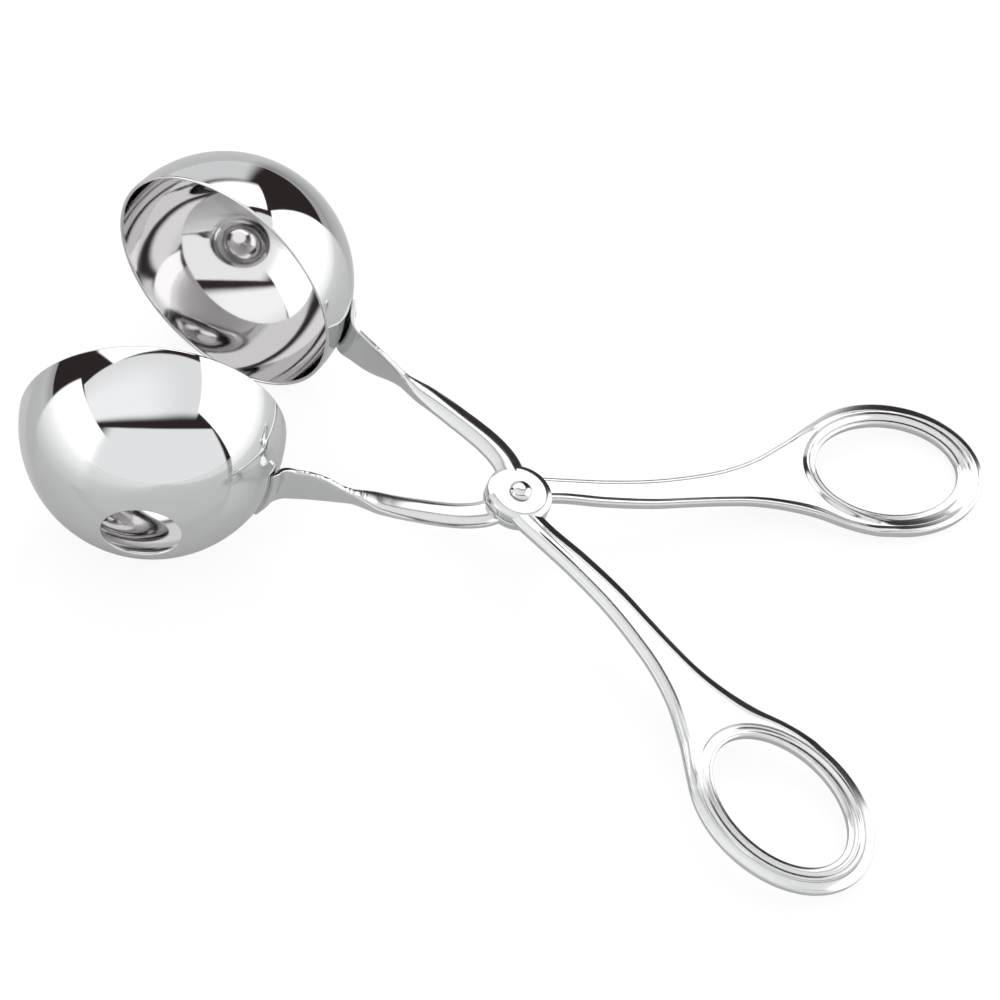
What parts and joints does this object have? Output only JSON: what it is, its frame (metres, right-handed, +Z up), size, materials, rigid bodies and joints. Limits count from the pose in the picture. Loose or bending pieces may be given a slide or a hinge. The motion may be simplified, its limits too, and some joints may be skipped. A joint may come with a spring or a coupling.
{
  "type": "meatball tongs",
  "caption": "Scissor-action meatball tongs: finger-ring handles on a rivet pivot, with a hollow, vented half-ball cup welded to the tip of each arm.",
  "frame": {"origin": "on the surface that the tongs lie on, under the centre of their bounding box", "axes": "+X from the cups towards the finger rings, +Y from the lower lever's cup side to the upper lever's cup side, +Z up from the surface"},
  "size_m": [0.1584, 0.1106, 0.045],
  "materials": {
    "lever_chrome": "polished chrome plate on pressed steel",
    "cup_chrome": "polished chrome plate on spun steel",
    "rivet_steel": "plated steel with a smooth domed head"
  },
  "bodies": {
    "lower": {"lower_lever": "lever_chrome", "lower_cup": "cup_chrome", "pivot_rivet": "rivet_steel"},
    "upper": {"upper_lever": "lever_chrome", "upper_cup": "cup_chrome"}
  },
  "joints": [
    {"name": "pivot", "type": "hinge", "parent": "lower", "child": "upper", "pos_m": [0.0033, 0, 0.01197], "axis": [0.1463, 0, 0.9892], "range_deg": [-30, 30.2]}
  ]
}
